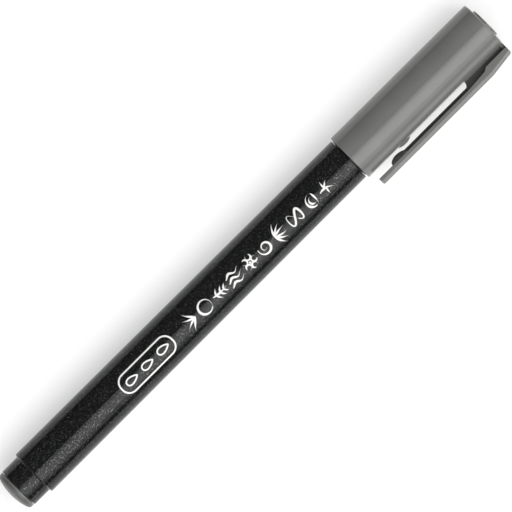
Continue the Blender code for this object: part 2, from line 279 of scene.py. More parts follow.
def mesh_from_grid(grid, ends):
    """Points, quads and triangles of a grid whose rows are closed rings. ends is "poles" to close
    the first and last rings with a point at their middles, or "loop" to join them to each other."""
    rows, ring = grid.shape[:2]
    points = grid.reshape(-1, 3)
    step = np.arange(ring)
    after = (step + 1) % ring
    starts = np.arange(rows if ends == "loop" else rows - 1)[:, None] * ring
    nexts = (starts + ring) % (rows * ring)
    quads = np.stack([starts + step, starts + after, nexts + after, nexts + step], axis=-1)
    quads = quads.reshape(-1, 4)
    fans = np.zeros((0, 3), int)
    if ends == "poles":
        first, last = len(points), len(points) + 1
        points = np.concatenate([points, grid[0].mean(0)[None], grid[-1].mean(0)[None]])
        base = (rows - 1) * ring
        fans = np.concatenate([
            np.stack([after, step, np.full(ring, first)], axis=-1),
            np.stack([base + step, base + after, np.full(ring, last)], axis=-1),
        ])
    centred = points - points.mean(0)
    split = np.concatenate([quads[:, [0, 1, 2]], quads[:, [0, 2, 3]], fans])
    if signed_volume(centred, split) < 0:
        quads, fans = quads[:, ::-1], fans[:, ::-1]
    return points, quads, fans


def add_piece(name, grids, material, ends="poles", sharp=35.0):
    """One object made of one or more closed skins, shaded smooth except over sharp edges."""
    points, faces, base = [], [], 0
    for grid in grids:
        some, quads, fans = mesh_from_grid(grid, ends)
        points += some.tolist()
        faces += (quads + base).tolist() + (fans + base).tolist()
        base += len(some)
    mesh = bpy.data.meshes.new(name)
    mesh.from_pydata(points, [], faces)
    mesh.update()
    mesh.shade_smooth()
    mesh.set_sharp_from_angle(angle=math.radians(sharp))
    mesh.materials.append(material)
    piece = bpy.data.objects.new(name, mesh)
    bpy.context.scene.collection.objects.link(piece)
    return piece


def add_turned(name, line, shape, material, ends="poles", lift=None):
    """The solid of revolution of an outline."""
    return add_piece(name, [turn_about_axis(line, shape.facets, lift)], material, ends)


def stand_for(piece, body, node):
    """The piece rides on its body in place of a node, which is hidden."""
    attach(piece, body)
    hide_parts(node)


# ---- material nodes

class Nodes:
    """The node tree of a material or a world, with short ways to add and join its nodes."""

    def __init__(self, owner, shader="Principled BSDF", place="Object"):
        owner.use_nodes = True
        self.owner = owner
        self.tree = owner.node_tree
        self.shader = self.tree.nodes[shader]
        self.place = self.add("TexCoord")[place]

    def feed(self, socket, source):
        """Joins a socket to another one, or gives it a constant value."""
        if isinstance(source, bpy.types.NodeSocket):
            self.tree.links.new(source, socket)
        else:
            socket.default_value = source

    def add(self, kind, *sources, **settings):
        """The outputs of a new node, whose inputs are fed in their order."""
        node = self.tree.nodes.new("ShaderNode" + kind)
        for name, value in settings.items():
            setattr(node, name, value)
        for socket, source in zip(node.inputs, sources):
            self.feed(socket, source)
        return node.outputs

    def put(self, **sockets):
        """Feeds the shader's own sockets, with _ for a space in a socket's name."""
        for name, value in sockets.items():
            self.feed(self.shader.inputs[name.replace("_", " ")], value)

    def noise(self, size, detail=2.0, along=1.0, rough=0.5):
        """Noise whose blobs are about size metres across, and 1 / along times as long in X."""
        where = self.place
        if along != 1.0:
            where = self.add("Mapping", where, (0, 0, 0), (0, 0, 0), (along, 1.0, 1.0))[0]
        return self.add("TexNoise", where, 0.0, 1 / size, detail, rough)["Fac"]

    def ranged(self, source, low, high, start=0.0, end=1.0, **settings):
        """The source's range from low to high carried to start to end, and held there."""
        return self.add("MapRange", source, low, high, start, end, **settings)[0]

    def maths(self, operation, *sources):
        """One sum, product or the like of its sources."""
        return self.add("Math", *sources, operation=operation)[0]

    def mixed(self, share, first, second):
        """A colour between two colours, each a colour or a socket."""
        node = self.tree.nodes.new("ShaderNodeMix")
        node.data_type = "RGBA"
        for index, value in ((0, share), (6, first), (7, second)):  # the inputs that mix colours
            if not isinstance(value, bpy.types.NodeSocket):
                value = (*value, 1.0)
            self.feed(node.inputs[index], value)
        return node.outputs[2]

    def gloss(self, noise, smooth, rough):
        """Roughness that goes from smooth to rough over the middle of a noise's range."""
        self.put(Roughness=self.ranged(noise, 0.3, 0.7, smooth, rough))

    def bump(self, height, distance, strength):
        """Relief from a height of 0 to 1, where 1 stands for distance metres at full strength."""
        node = self.tree.nodes.new("ShaderNodeBump")
        for name, value in (("Height", height), ("Distance", distance), ("Strength", strength)):
            self.feed(node.inputs[name], value)
        self.put(Normal=node.outputs["Normal"])


def shaded(tone, share):
    """The tone made lighter or darker by a share."""
    return tuple(min(1.0, part * (1 + share)) for part in tone)


def finish_nodes(name):
    """The nodes of a new material."""
    return Nodes(bpy.data.materials.new(name))


def moulded_nodes(name, tone, roughness):
    """Satin moulded plastic: slow drifts of tone, uneven gloss and a fine spark-eroded grain. Gives
    the nodes and the drifting tone, which isn't joined to the shader yet."""
    nodes = finish_nodes(name)
    cloud = nodes.noise(6 * MM, 3.0)
    tint = nodes.mixed(nodes.ranged(cloud, 0.3, 0.7), shaded(tone, -0.05), shaded(tone, 0.05))
    nodes.gloss(nodes.noise(2.2 * MM, 4.0), roughness - 0.03, roughness + 0.04)
    nodes.bump(nodes.noise(0.12 * MM), 0.004 * MM, 0.6)
    return nodes, tint


def moulded_plastic(name, tone, roughness):
    """Moulded plastic of one tone."""
    nodes, tint = moulded_nodes(name, tone, roughness)
    nodes.put(Base_Color=tint)
    return nodes.owner


def plastic_with_painted_highlight(name, tone, roughness, edge, width):
    """Moulded plastic with a painted highlight: paler past an X that lies width short of the edge.
    """
    nodes, tint = moulded_nodes(name, tone, roughness)
    along = nodes.add("SeparateXYZ", nodes.place)["X"]
    painted_highlight = nodes.ranged(along, edge - width, edge - 0.8 * width)
    nodes.put(Base_Color=nodes.mixed(painted_highlight, tint, shaded(tone, 0.55)))
    return nodes.owner


def plastic_with_painted_shade(name, tone, roughness):
    """Moulded plastic with painted shade: darker where the piece's shade attribute is 1."""
    nodes, tint = moulded_nodes(name, tone, roughness)
    painted_shade = nodes.add("Attribute", attribute_name="painted_shade")["Fac"]
    nodes.put(Base_Color=nodes.mixed(painted_shade, tint, shaded(tone, PAINTED_SHADE_SHARE)))
    return nodes.owner


def glitter_plastic(name, ground, flake, roughness, share):
    """Glossy black plastic with silver flakes under its skin. A cell holds a flake where its random
    red is past 1 - share, its green gives the flake's strength and its blue the tilt."""
    nodes = finish_nodes(name)
    cells = nodes.add("TexVoronoi", nodes.place, 0.0, 1 / (0.12 * MM), feature="F1")
    split = nodes.add("SeparateColor", cells["Color"])
    chosen = nodes.ranged(split["Red"], 1 - share, 1 - 0.7 * share)
    near = nodes.ranged(cells["Distance"], 0.45, 0.3)
    mask = nodes.maths("MULTIPLY", chosen, near)
    bright = nodes.ranged(split["Green"], 0.0, 1.0, 0.05, 0.7)
    haze = nodes.noise(0.7 * MM, 3.0)
    deep = nodes.mixed(nodes.ranged(haze, 0.3, 0.7), ground, shaded(ground, 1.2))
    nodes.put(Base_Color=nodes.mixed(nodes.maths("MULTIPLY", mask, bright), deep, flake),
              Metallic=nodes.ranged(mask, 0.0, 1.0, 0.0, 0.75), Specular_IOR_Level=0.3)
    nodes.gloss(nodes.noise(3 * MM, 3.0), roughness - 0.03, roughness + 0.05)
    nodes.bump(split["Blue"], 0.004 * MM, 0.1)
    return nodes.owner


def grained(name, tone, noise, tones, gloss, relief, reach=(0.3, 0.7), **sockets):
    """A finish with one grain, of noise's size, detail, stretch and roughness. Over its reach the
    grain carries the tone from a darker to a paler share. It also carries the roughness through
    gloss and raises a relief of some depth and strength. Sockets hold what is even all over."""
    nodes = finish_nodes(name)
    grain = nodes.noise(*noise)
    dark, pale = (shaded(tone, share) for share in tones)
    nodes.put(Base_Color=nodes.mixed(nodes.ranged(grain, *reach), dark, pale), **sockets)
    nodes.gloss(grain, *gloss)
    nodes.bump(grain, *relief)
    return nodes.owner


def drawn_fibre(name, tone, pitch, depth):
    """Fibres along the pen: noise twenty times as long in X gives streaks of tone and relief."""
    return grained(name, tone, (pitch, 3.0, 0.05, 0.6), (-0.35, 0.45), (0.95, 0.75), (depth, 0.8),
                   Sheen_Weight=0.2, Sheen_Roughness=0.5)


def soft_tip(name, tone):
    """Elastic tip: fine lengthwise grain, a damp gloss, and a little light through the thin end."""
    return grained(name, tone, (0.12 * MM, 3.0, 0.12), (-0.3, 0.4), (0.62, 0.42), (0.01 * MM, 0.6),
                   Subsurface_Weight=0.1, Subsurface_Scale=0.4 * MM)


def natural_plastic(name, tone):
    """Milky unpigmented plastic: light goes a little way in, and flow marks run along it."""
    return grained(name, tone, (1.6 * MM, 3.0, 0.3), (-0.06, 0.05), (0.36, 0.48), (0.006 * MM, 0.5),
                   Subsurface_Weight=0.35, Subsurface_Scale=1.5 * MM)


def thin_film(name, tone):
    """Clear wrapping film: pale, glossy, crinkled along the pen, and mostly see-through."""
    return grained(name, tone, (0.9 * MM, 4.0, 0.25), (-0.1, 0.1), (0.12, 0.3), (0.03 * MM, 0.5),
                   Alpha=0.45)


def printed_ink(name, tone):
    """Opaque pad-printed ink: a dry, faintly uneven layer."""
    return grained(name, tone, (0.25 * MM, 4.0), (-0.14, 0.0), (0.4, 0.6), (0.003 * MM, 0.4),
                   reach=(0.25, 0.6))


def studio_floor(name, tone, glow):
    """Even pale paper with a barely visible tooth, lit a little from below."""
    nodes = finish_nodes(name)
    tooth = nodes.ranged(nodes.noise(1.5 * MM, 4.0), 0.3, 0.7)
    nodes.put(Base_Color=nodes.mixed(tooth, shaded(tone, -0.008), shaded(tone, 0.008)),
              Roughness=0.9, Specular_IOR_Level=0.1,
              Emission_Color=(1.0, 1.0, 1.0, 1.0), Emission_Strength=glow)
    return nodes.owner


# ---- pen body

def barrel_line(shape):
    """Outline of the tapered tube: back along its outside from the cap's end, then up its bore."""
    step_up = BARREL_RADIUS - shape.post_neck_radius
    return outline([
        (BARREL_FRONT, shape.bore + 0.1 * MM),
        (BARREL_FRONT, shape.barrel_front_radius, shape.rim),
        (shape.post_neck_end + 0.55 * step_up, BARREL_RADIUS, 0.14 * MM),
        (shape.post_neck_end, shape.post_neck_radius, 0.06 * MM),
        (BARREL_REAR, shape.post_neck_radius, 0.1 * MM),
        (BARREL_REAR, shape.bore),
        (BARREL_FRONT - 0.1 * MM, shape.bore),
    ], shape.fine)


def plug_line(shape):
    """Outline of the domed plug: an arc of large radius, a round corner and a land beside the seam,
    then the spigot with two beads, and the hollow inside it."""
    seat = BARREL_REAR - SEAM_GAP
    rim = (PLUG_HIGH.z - PLUG_LOW.z) / 2
    front = PLUG_HIGH.x - TAIL_X
    spigot = shape.bore - 0.25 * MM
    bead = shape.bore - 0.08 * MM
    hollow = spigot - 0.8 * MM
    face = np.linspace(rim - 0.85 * MM, 0.0, 12)
    dome = np.stack([shape.plug_dome - np.sqrt(shape.plug_dome ** 2 - face ** 2), face], axis=1)
    outside = outline([
        (front, hollow),
        (front, spigot, 0.3 * MM),
        (7.6 * MM, spigot),
        (7.2 * MM, bead, 0.2 * MM),
        (6.8 * MM, spigot),
        (5.0 * MM, spigot),
        (4.6 * MM, bead, 0.2 * MM),
        (4.2 * MM, spigot),
        (seat, spigot),
        (seat, rim, 0.07 * MM),
        (0.9 * MM, rim - 0.01 * MM, 0.82 * MM),
        tuple(dome[0]),
    ], shape.fine, 8)
    floor = seat - 0.3 * MM
    inside = outline([(floor, 0.0), (floor, hollow), (front, hollow)], shape.fine)
    return np.concatenate([inside[:-1], outside[:-1], dome])


def section_line(shape):
    """Outline of the grip: the cone, the land for the inner cap, the spigot, and the bore from the
    barrel to the nib's socket."""
    mouth = SECTION_HIGH.x - TAIL_X
    rear = SECTION_LOW.x - TAIL_X
    collar = BARREL_FRONT + 0.12 * MM
    spigot, socket, core = shape.bore - 0.12 * MM, 1.5 * MM, 1.4 * MM
    land, fibre = 3.3 * MM, 3.0 * MM
    return outline([
        (mouth, socket, 0.1 * MM),
        (mouth, 1.95 * MM, 0.22 * MM),
        (112.5 * MM, land, 1.2 * MM),
        (107.5 * MM, land, 0.3 * MM),
        (106.9 * MM, 4.58 * MM, 0.35 * MM),
        (collar, shape.post_neck_radius, 0.08 * MM),
        (collar, spigot),
        (rear, spigot, 0.3 * MM),
        (rear, fibre),
        (101.0 * MM, fibre, 0.3 * MM),
        (103.0 * MM, core),
        (mouth - 3.0 * MM, core),
        (mouth - 3.0 * MM, socket),
    ], shape.fine)


def nib_line():
    """Outline of the brush tip, back from a round point and then along the short shank. Its radius
    is tip + (base - tip)(1 - (1 - t)^1.35)."""
    tip, base, rear = NIB_HIGH.x - TAIL_X, 119.3 * MM, NIB_LOW.x - TAIL_X
    point, shank_radius = 0.2 * MM, 1.2 * MM
    base_radius = (NIB_HIGH.z - NIB_LOW.z) / 2
    angle = 0.93 * quarter_turn(7)
    cap = np.stack([tip - point * (1 - np.cos(angle)), point * np.sin(angle)], axis=1)
    share = np.linspace(0, 1, 36)[1:]
    radius = point + (base_radius - point) * (1 - (1 - share) ** 1.35)
    flank = np.stack([cap[-1, 0] - share * (cap[-1, 0] - base), radius], axis=1)
    shank = outline([
        tuple(flank[-1]),
        (base - 0.12 * MM, base_radius - 0.02 * MM, 0.05 * MM),
        (base - 0.2 * MM, shank_radius),
        (rear, shank_radius, 0.15 * MM),
        (rear, 0.0),
    ], 0.4 * MM)
    return np.concatenate([cap, flank, shank[1:]])


# ---- cap and clip

def inner_cap_line(shape):
    """Outline of the sealing cup, with a flange at each end and a stem against the crown."""
    start, stem_end = INNER_LOW.x - TAIL_X, INNER_HIGH.x - TAIL_X
    end, floor = 132.0 * MM, 131.2 * MM
    outer = (INNER_HIGH.z - INNER_LOW.z) / 2
    stem, waist, mouth, bore = 1.6 * MM, 4.15 * MM, 3.4 * MM, 3.15 * MM
    return outline([
        (stem_end, 0.0),
        (stem_end, stem, 0.2 * MM),
        (end, stem, 0.2 * MM),
        (end, outer, 0.3 * MM),
        (end - 2.4 * MM, outer, 0.1 * MM),
        (end - 2.8 * MM, waist, 0.1 * MM),
        (start + 2.8 * MM, waist, 0.1 * MM),
        (start + 2.4 * MM, outer, 0.1 * MM),
        (start, outer, 0.15 * MM),
        (start, mouth, 0.3 * MM),
        (114.5 * MM, mouth),
        (114.9 * MM, bore),
        (floor, bore, 0.6 * MM),
        (floor, 0.0),
    ], shape.fine)


def cap_line(shape):
    """Outline of the cap: the crown disc, the sloping end face, the tapered wall, the mouth's rim
    and the stepped bore."""
    shoulder, mouth, floor = shape.cap_shoulder, CAP_LOW.x - TAIL_X, 135.2 * MM
    mouth_radius = (CAP_HIGH.z - CAP_LOW.z) / 2
    slope = (mouth_radius - shape.cap_top_radius) / (shoulder - mouth)
    near_lump = np.linspace(shape.bump_station + 2.4 * MM, shape.bump_station - 2.4 * MM, 41)
    wall = np.stack([near_lump, mouth_radius - slope * (near_lump - mouth)], axis=1)
    before = outline([
        (LENGTH, 0.0),
        (LENGTH, shape.crown_disc, 0.2 * MM),
        (shoulder + shape.crown_rise, shape.crown_disc + 0.03 * MM, 0.06 * MM),
        (shoulder, shape.cap_top_radius, 0.35 * MM),
        tuple(wall[0]),
    ], shape.fine)
    after = outline([
        tuple(wall[-1]),
        (mouth, mouth_radius, shape.rim),
        (mouth, shape.cap_bore, 0.18 * MM),
        (107.3 * MM, shape.cap_bore),
        (107.5 * MM, shape.liner_bore),
        (floor, shape.liner_bore, 0.5 * MM),
        (floor, 0.0),
    ], shape.fine)
    return np.concatenate([before, wall[1:-1], after])


def cap_lump(shape):
    """Lift of the oval lump: h (1 - p^2)^0.7, where p is the distance from its middle over its
    half-length along the pen and its half-width round it."""
    def lift(station, angle, radius):
        across = radius * np.sin(angle)
        share = ((station - shape.bump_station) / (1.75 * MM)) ** 2 + (across / (1.3 * MM)) ** 2
        facing = (np.cos(angle) > 0) & (radius > shape.liner_bore + 0.5 * MM)
        return np.where(facing, shape.bump_height * np.clip(1 - share, 0, 1) ** 0.7, 0.0)
    return lift


def strip_ends(shape):
    """Stations of the strip's free end and of its root."""
    return CLIP_LOW.x - TAIL_X, shape.cap_shoulder - 0.02 * MM


def strip_heights(station, shape):
    """Inner and outer heights of the clip's strip. The inner face deepens slowly towards the root
    and drops at a kink; the outer face slopes in behind it and is rounded at both ends."""
    start, end = strip_ends(shape)
    deepening, kink, slope = 124.3 * MM, 129.6 * MM, 129.9 * MM  # stations where each starts
    drop, bend = 0.45 * MM, 1.2 * MM  # depth of each drop, and length of the bend into the slope
    back = np.clip((station - deepening) / (6.2 * MM), 0, 1)
    inner = shape.strip_inner - drop * back ** 1.3 - drop * ease((station - kink) / (1.1 * MM))
    run = np.clip(station - slope, 0, None)
    sloped = np.where(run < bend, run * run / (2 * bend), run - bend / 2)
    outer = AXIS_Y - CLIP_LOW.y - 0.125 * sloped
    for edge, depth, reach in ((start, 0.22 * MM, 0.4 * MM), (end, 0.4 * MM, 0.45 * MM)):
        outer = outer - depth * rounded(1 - np.abs(station - edge) / reach)
    return inner, outer


def strip_grid(shape):
    """Grid of the clip's strip with its rib and ball. Each ring is a half-section and its mirror
    image: the rib as a superellipse, the flat inner face, a rounded corner, the side, a narrow
    ledge and the crowned outer face as another superellipse."""
    start, end = strip_ends(shape)
    edge, corner, crease = 0.12 * MM, 0.14 * MM, 0.1 * MM
    rim = edge * (1 - np.cos(quarter_turn(6)))
    middle = [np.arange(near, far, step * MM) for near, far, step in (
        (start + 0.2 * MM, 102.6 * MM, 0.3),
        (102.6 * MM, 107.6 * MM, 0.1),
        (107.6 * MM, 121.0 * MM, 0.8),
        (121.0 * MM, end - 0.6 * MM, 0.2),
        (end - 0.6 * MM, end - 0.16 * MM, 0.06))]
    station = np.concatenate([start + rim, *middle, end - rim[::-1]])[:, None]
    from_end = np.minimum(station - start, end - station)
    inset = edge * rounded(1 - from_end / edge)

    inner, outer = strip_heights(station, shape)
    inner = inner + inset
    outer = outer - inset
    ledge = outer - shape.strip_side * np.clip((outer - inner) / (1.2 * MM), 0.4, 1.0)
    widen = np.clip((station - start) / (125.0 * MM - start), 0, 1)
    half = shape.strip_half_end + (shape.strip_half - shape.strip_half_end) * widen - inset

    ahead = (shape.ball_station - station) / (1.95 * MM)
    behind = (station - shape.ball_station) / (2.4 * MM)
    swell = 1 - rounded(np.maximum(ahead, behind))
    rib_depth = (shape.strip_inner - RIB_EDGE) * (station > shape.ball_station)
    rib_end = 1 - ease((station - 127.5 * MM) / (1.5 * MM))
    depth = np.maximum(shape.ball_height * swell, rib_depth * rib_end)
    narrow = np.maximum(1.2 * MM * swell, shape.rib_half)
    power = 2 / (2.0 + 0.6 * ease((station - 106.0 * MM) / (1.2 * MM)))

    quarter = quarter_turn(9)[None]
    rib_across = narrow * np.sin(quarter) ** power
    rib_height = inner - depth * np.cos(quarter) ** power
    flat = np.linspace(0, 1, 4)[None, 1:-1]
    lean = shape.strip_draft / MM * (ledge - inner)
    flat_across = narrow + (half - lean - corner - narrow) * flat
    arc = quarter_turn(5)[None]
    arc_across = half - lean - corner * (1 - np.sin(arc))
    arc_height = inner + corner * (1 - np.cos(arc))
    ledge_half = half - crease * 1.2
    ledge_top = ledge + 0.3 * crease
    side_across = np.concatenate([half - lean / 2, half, half - crease, ledge_half], axis=1)
    side_height = np.concatenate([(inner + ledge) / 2, ledge - crease, ledge, ledge_top], axis=1)
    crown = quarter_turn(12)[None, 1:]
    boxy = 2 / 3.4  # a superellipse's power, squarer than an ellipse's 1
    crown_across = ledge_half * np.cos(crown) ** boxy
    crown_height = ledge_top + (outer - ledge_top) * np.sin(crown) ** boxy
    across = np.concatenate(
        [rib_across, flat_across, arc_across, side_across, crown_across], axis=1)
    height = np.concatenate(
        [rib_height, inner + 0 * flat_across, arc_height, side_height, crown_height], axis=1)
    across = np.concatenate([across, -across[:, -2:0:-1]], axis=1)
    height = np.concatenate([height, height[:, -2:0:-1]], axis=1)
    return to_row_frame(station, height, across)


def mark_painted_shade(piece, grid, shape):
    """Stores the attribute for painted shade on the strip: 1 on the rib, the ball and the inner
    face, and 0 past the corner of that face."""
    inner, _ = strip_heights(grid[..., 0] - TAIL_X, shape)
    height = AXIS_Y - grid[..., 1]
    painted_shade = ease((inner + 0.1 * MM - height) / (0.08 * MM))
    values = np.zeros(len(piece.data.vertices))
    values[:painted_shade.size] = painted_shade.ravel()
    piece.data.attributes.new("painted_shade", "FLOAT", "POINT").data.foreach_set("value", values)


def box_ring(start, end, half_wide, radius, points=32):
    """A rounded rectangle: a quarter circle of one radius about each inner corner."""
    angle = (np.arange(points) + 0.5) * 2 * math.pi / points
    half_long = (end - start) / 2
    along = np.sign(np.cos(angle)) * (half_long - radius) + radius * np.cos(angle)
    across = np.sign(np.sin(angle)) * (half_wide - radius) + radius * np.sin(angle)
    return (start + end) / 2 + along, across


def web_grid(shape):
    """Grid of the web under the clip's root: rounded rectangles stacked from inside the cap's wall
    to inside the strip. They thin towards the cap and flare where they meet it, and their front
    edge is a quarter ellipse that ends at the strip."""
    surface = shape.cap_top_radius
    height = np.linspace(5.0 * MM, 7.2 * MM, 34)[:, None]
    rise = np.clip((height - surface) / (RIB_EDGE - surface), 0, 1)
    front = 125.25 * MM - 0.7 * MM * rounded(rise)
    flare = 0.08 * MM * np.clip(1 - (height - surface + 0.05 * MM) / (0.35 * MM), 0, 1) ** 2
    half = shape.web_half * (0.5 + 0.5 * rise) + flare
    along, across = box_ring(front, 135.9 * MM, half, 0.15 * MM)
    return to_row_frame(along, height, across)


def flange_grid(shape):
    """Grid of the flange that joins the cap's end to the strip's, flared at its foot."""
    height = np.linspace(4.9 * MM, 6.9 * MM, 24)[:, None]
    flare = 0.12 * MM * np.clip(1 - (height - shape.cap_top_radius) / (0.3 * MM), 0, 1) ** 2
    along, across = box_ring(135.5 * MM - flare, shape.cap_shoulder - 0.03 * MM,
                             0.5 * shape.strip_half + flare, 0.12 * MM)
    return to_row_frame(along, height, across)


# ---- print

def on_barrel(along, across, lift, shape, turn):
    """Wraps flat print on the tapered barrel: across is an arc length from the print's middle."""
    share = (along - shape.post_neck_end) / (BARREL_FRONT - shape.post_neck_end)
    radius = BARREL_RADIUS + (shape.barrel_front_radius - BARREL_RADIUS) * share
    angle = turn + across / radius
    return to_row_frame(along, (radius + lift) * np.sin(angle), (radius + lift) * np.cos(angle))


def ribbon_grid(path, half_width, shape, settings, closed=False):
    """Grid of a flat stroke along a path: at each point of it a ring of eight points, four just
    over the barrel's surface and four sunk in it, half_width to each side of the path."""
    if closed:
        tangent = np.roll(path, -1, 0) - np.roll(path, 1, 0)
    else:
        tangent = np.gradient(path, axis=0)
    tangent /= np.linalg.norm(tangent, axis=1)[:, None]
    normal = np.stack([-tangent[:, 1], tangent[:, 0]], axis=1)
    side = np.array([-1.0, -0.6, 0.6, 1.0, 1.0, 0.6, -0.6, -1.0])
    top = settings.film * np.array([0.3, 1.0, 1.0, 0.3, -3.0, -4.0, -4.0, -3.0])
    spread = half_width[:, None] * side[None]
    along = path[:, :1] + normal[:, :1] * spread
    across = path[:, 1:] + normal[:, 1:] * spread
    return on_barrel(along, across, top[None], shape, settings.turn)


def brush_width(count):
    """A brush's half-widths along a stroke: it lands, swells at heavy, and lifts to a point."""
    heavy, start, end = 0.3, 0.35, 0.05  # where it is widest, and its shares of that at the ends
    share = np.linspace(0, 1, count)
    rise = start + (1 - start) * ease(share / heavy)
    fall = 1 - (1 - end) * ease((share - heavy) / (1 - heavy))
    return np.where(share < heavy, rise, fall) / 2


def bent(start, middle, end):
    """A quadratic Bezier curve: a (1 - t)^2 + 2 b t (1 - t) + c t^2."""
    share = np.linspace(0, 1, 28)[:, None]
    points = [np.array(p, float) for p in (start, middle, end)]
    return (points[0] * (1 - share) ** 2 + 2 * points[1] * share * (1 - share)
            + points[2] * share ** 2)


def circling(turns, inner, outer, begin, count=56):
    """A circle or spiral whose radius runs evenly from inner to outer."""
    share = np.linspace(0, 1, count)
    angle = math.radians(begin) + share * turns * 2 * math.pi
    radius = inner + (outer - inner) * share
    return np.stack([radius * np.cos(angle), radius * np.sin(angle)], axis=1)


def rippled(offset, swing=0.08, waves=1.5):
    """A sine wave along the pen."""
    along = np.linspace(-0.5, 0.5, 60)
    return np.stack([along, offset + swing * np.sin(along * waves * 2 * math.pi)], axis=1)


def knotted(size):
    """A cord's figure of eight, whose ends lap over: x = sin t, y = 0.8 sin 2t."""
    angle = np.linspace(0.25, 2 * math.pi + 0.4, 90)
    return size * np.stack([np.sin(angle), 0.8 * np.sin(2 * angle)], axis=1)


def leaves(root, size, *degrees):
    """Slightly bent strokes from one root, each at an angle from the pen's length."""
    root = np.array(root)
    strokes = []
    for turn in np.radians(degrees):
        way = np.array([math.cos(turn), math.sin(turn)])
        side = 0.12 * np.array([-way[1], way[0]]) * np.sign(turn if turn else 1)
        strokes.append(bent(root, root + size * (0.5 * way + side), root + size * way))
    return strokes


def moved(path, along, across):
    """The path carried along and across the pen."""
    return path + np.array([along, across])


def brush_marks():
    """The row of marks, each a list of paths in a unit square: leaves, a ring, a twig, waves, a
    blossom, a spiral, needles, a knot, arcs and a second twig."""
    petals = [moved(circling(0.8, 0.16, 0.16, 30 + turn, 24),
                    0.3 * math.cos(math.radians(turn)), 0.3 * math.sin(math.radians(turn)))
              for turn in range(0, 360, 72)]
    return [
        leaves((0.42, 0.0), 0.82, 130, 158, -158, -130),
        [circling(1.05, 0.41, 0.41, 40)],
        [bent((-0.5, -0.05), (0, 0.08), (0.5, -0.02)), *leaves((-0.3, 0.0), 0.42, 55, -55),
         *leaves((-0.02, 0.03), 0.42, 50, -50), *leaves((0.24, 0.02), 0.36, 45, -45)],
        [rippled(offset) for offset in (-0.3, 0.0, 0.3)],
        [*petals, circling(1.0, 0.04, 0.04, 0, 12)],
        [circling(-1.4, 0.44, 0.1, 200)],
        leaves((-0.4, 0.0), 0.78, -62, -36, -12, 12, 36, 62),
        [knotted(0.44)],
        [moved(circling(0.5, 0.4, 0.4, 90), 0.2, 0), moved(circling(0.5, 0.22, 0.22, 90), 0.2, 0),
         bent((0.34, -0.35), (0.42, 0.0), (0.34, 0.35))],
        [bent((-0.42, 0.05), (0.1, -0.1), (0.42, 0.3)), *leaves((-0.05, 0.0), 0.45, -40, -85),
         *leaves((0.05, 0.05), 0.4, 95)],
    ]


def drop_path(middle, size):
    """A hanging drop's outline: a circle drawn out to a point towards the cap."""
    angle = np.linspace(0, 2 * math.pi, 40, endpoint=False)
    along = np.cos(angle) + 0.55 * (1 + np.cos(angle)) ** 2 / 4 - 0.2
    across = np.sin(angle) * np.sin(angle / 2) ** 0.6
    return np.stack([middle + size * along, size * 0.8 * across], axis=1)


def frame_path(settings):
    """The rounded outline's centre line."""
    half = settings.line / 2
    along, across = box_ring(
        settings.frame_start + half, settings.frame_start + settings.frame_length - half,
        settings.frame_width / 2 - half, 0.42 * settings.frame_width, 96)
    path = np.stack([along, across], axis=1)
    return divided(np.concatenate([path, path[:1]]), 0.5 * MM)


def print_grids(shape, settings):
    """Closed loops (the outline and its three drops) and open brush strokes."""
    paths = [(frame_path(settings), settings.line / 2)]
    for share in (0.2, 0.5, 0.8):
        middle = settings.frame_start + settings.frame_length * share
        paths.append((drop_path(middle, 1.1 * MM), settings.line * 0.45))
    loops = [ribbon_grid(path, np.full(len(path), half), shape, settings, closed=True)
             for path, half in paths]
    strokes = []
    marks = brush_marks()
    pitch = (settings.marks_end - settings.marks_start) / len(marks)
    for index, paths in enumerate(marks):
        middle = settings.marks_start + pitch * (index + 0.5)
        for path in paths:
            flat = path * settings.mark_size + np.array([middle, 0.0])
            run = np.linalg.norm(np.diff(flat, axis=0), axis=1).sum()
            bold = settings.stroke * min(1.0, 0.55 + run / (9 * MM))
            strokes.append(ribbon_grid(flat, brush_width(len(flat)) * bold, shape, settings))
    return loops, strokes


# ---- operators

def pen_settings(context):
    """The sizes and the finishes that the operators build from."""
    return context.scene.marker_shape, context.scene.marker_finish


class MARKER_OT_barrel(bpy.types.Operator):
    """Add the tapered glitter barrel"""

    bl_idname = "marker.barrel"
    bl_label = "Barrel"

    def execute(self, context):
        shape, finish = pen_settings(context)
        material = glitter_plastic("glitter_black", finish.barrel, finish.flake,
                                   finish.barrel_roughness, finish.flake_share)
        piece = add_turned("glitter_barrel", barrel_line(shape), shape, material, "loop")
        stand_for(piece, "pen", "barrel")
        return {"FINISHED"}


class MARKER_OT_tail_plug(bpy.types.Operator):
    """Add the domed plug that closes the barrel's tail"""

    bl_idname = "marker.tail_plug"
    bl_label = "Tail plug"

    def execute(self, context):
        shape, finish = pen_settings(context)
        seam = BARREL_LOW.x - SEAM_GAP
        # painted highlight: the land beside the seam is painted paler
        material = plastic_with_painted_highlight("plug_grey", finish.plug, 0.4, seam, shape.plug_band)
        piece = add_turned("domed_tail_plug", plug_line(shape), shape, material)
        stand_for(piece, "pen", "tail_plug")
        return {"FINISHED"}


class MARKER_OT_front_section(bpy.types.Operator):
    """Add the grip that holds the nib"""

    bl_idname = "marker.front_section"
    bl_label = "Front section"

    def execute(self, context):
        shape, finish = pen_settings(context)
        material = moulded_plastic("section_black", finish.section, 0.34)
        piece = add_turned("grip_section", section_line(shape), shape, material, "loop")
        stand_for(piece, "pen", "front_section")
        return {"FINISHED"}


class MARKER_OT_nib(bpy.types.Operator):
    """Add the soft brush tip"""

    bl_idname = "marker.nib"
    bl_label = "Nib"

    def execute(self, context):
        finish = pen_settings(context)[1]
        grid = turn_about_axis(nib_line(), 96)
        piece = add_piece("brush_nib", [grid], soft_tip("nib_grey", finish.nib))
        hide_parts("nib")
        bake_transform(piece)
        return {"FINISHED"}


